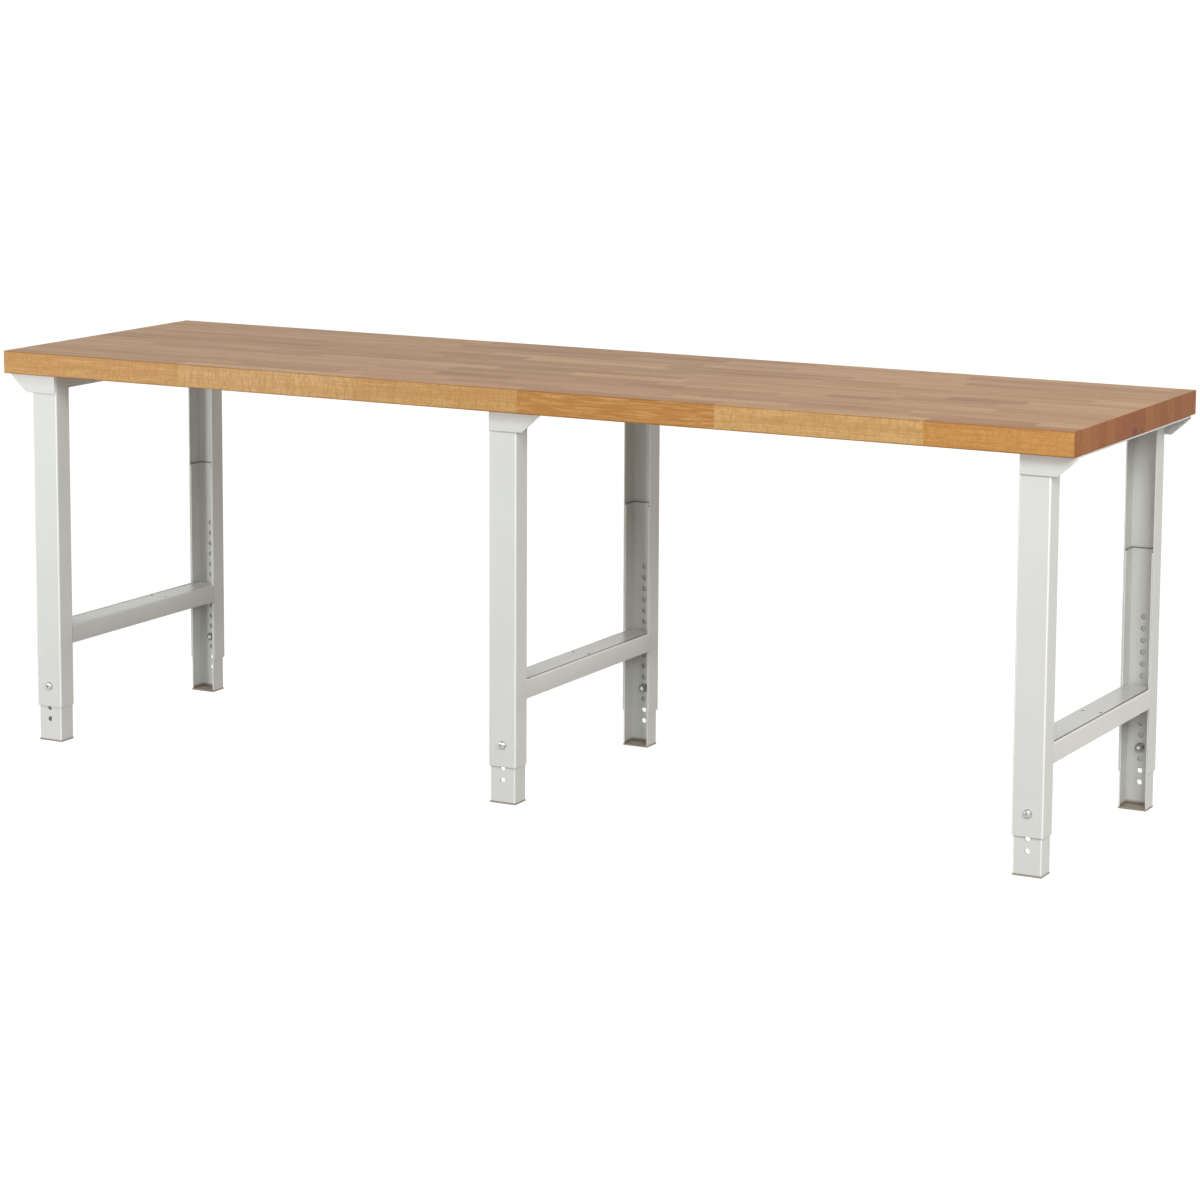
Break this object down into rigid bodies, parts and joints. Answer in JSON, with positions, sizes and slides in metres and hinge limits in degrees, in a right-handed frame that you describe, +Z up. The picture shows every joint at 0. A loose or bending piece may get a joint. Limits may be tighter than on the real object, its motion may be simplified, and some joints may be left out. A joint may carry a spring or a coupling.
{
  "type": "workbench",
  "caption": "Long workbench with a thick glued beech top on light grey steel frames, whose perforated feet slide in the legs to set the height.",
  "frame": {"origin": "on the floor, under the middle of the worktop, with the feet set as in the picture", "axes": "+X along the worktop to the viewer's right, -Y towards the front, +Z up"},
  "size_m": [2.5, 0.7, 0.875],
  "materials": {
    "beech": "oiled",
    "leg_paint": "satin",
    "foot_paint": "satin",
    "beam_paint": "satin",
    "crossbar_paint": "satin",
    "strip_paint": "satin",
    "plate_paint": "satin",
    "bolt_zinc": "bright zinc",
    "nut_zinc": "bright zinc",
    "screw_zinc": "yellow zinc"
  },
  "bodies": {
    "bench": {"worktop": "beech", "left_top_beam": "beam_paint", "left_crossbar": "crossbar_paint", "left_crossbar_strip": "strip_paint", "left_front_leg": "leg_paint", "left_front_bolt": "bolt_zinc", "left_front_nut": "nut_zinc", "left_rear_leg": "leg_paint", "left_rear_bolt": "bolt_zinc", "left_rear_nut": "nut_zinc", "left_screw_1": "screw_zinc", "left_screw_2": "screw_zinc", "left_screw_3": "screw_zinc", "left_screw_4": "screw_zinc", "middle_top_beam": "beam_paint", "middle_crossbar": "crossbar_paint", "middle_crossbar_strip": "strip_paint", "middle_front_leg": "leg_paint", "middle_front_bolt": "bolt_zinc", "middle_front_nut": "nut_zinc", "middle_rear_leg": "leg_paint", "middle_rear_bolt": "bolt_zinc", "middle_rear_nut": "nut_zinc", "middle_screw_1": "screw_zinc", "middle_screw_2": "screw_zinc", "middle_screw_3": "screw_zinc", "middle_screw_4": "screw_zinc", "right_top_beam": "beam_paint", "right_crossbar": "crossbar_paint", "right_crossbar_strip": "strip_paint", "right_front_leg": "leg_paint", "right_front_bolt": "bolt_zinc", "right_front_nut": "nut_zinc", "right_rear_leg": "leg_paint", "right_rear_bolt": "bolt_zinc", "right_rear_nut": "nut_zinc", "right_screw_1": "screw_zinc", "right_screw_2": "screw_zinc", "right_screw_3": "screw_zinc", "right_screw_4": "screw_zinc"},
    "left_front_foot_slide": {"left_front_foot": "foot_paint", "left_front_base_plate": "plate_paint"},
    "left_rear_foot_slide": {"left_rear_foot": "foot_paint", "left_rear_base_plate": "plate_paint"},
    "middle_front_foot_slide": {"middle_front_foot": "foot_paint", "middle_front_base_plate": "plate_paint"},
    "middle_rear_foot_slide": {"middle_rear_foot": "foot_paint", "middle_rear_base_plate": "plate_paint"},
    "right_front_foot_slide": {"right_front_foot": "foot_paint", "right_front_base_plate": "plate_paint"},
    "right_rear_foot_slide": {"right_rear_foot": "foot_paint", "right_rear_base_plate": "plate_paint"}
  },
  "joints": [
    {"name": "left_front_height", "type": "slide", "parent": "bench", "child": "left_front_foot_slide", "axis": [0, 0, -1], "range_m": [-0.075, 0.225]},
    {"name": "left_rear_height", "type": "slide", "parent": "bench", "child": "left_rear_foot_slide", "axis": [0, 0, -1], "range_m": [-0.075, 0.225]},
    {"name": "middle_front_height", "type": "slide", "parent": "bench", "child": "middle_front_foot_slide", "axis": [0, 0, -1], "range_m": [-0.075, 0.225]},
    {"name": "middle_rear_height", "type": "slide", "parent": "bench", "child": "middle_rear_foot_slide", "axis": [0, 0, -1], "range_m": [-0.075, 0.225]},
    {"name": "right_front_height", "type": "slide", "parent": "bench", "child": "right_front_foot_slide", "axis": [0, 0, -1], "range_m": [-0.075, 0.225]},
    {"name": "right_rear_height", "type": "slide", "parent": "bench", "child": "right_rear_foot_slide", "axis": [0, 0, -1], "range_m": [-0.075, 0.225]}
  ]
}
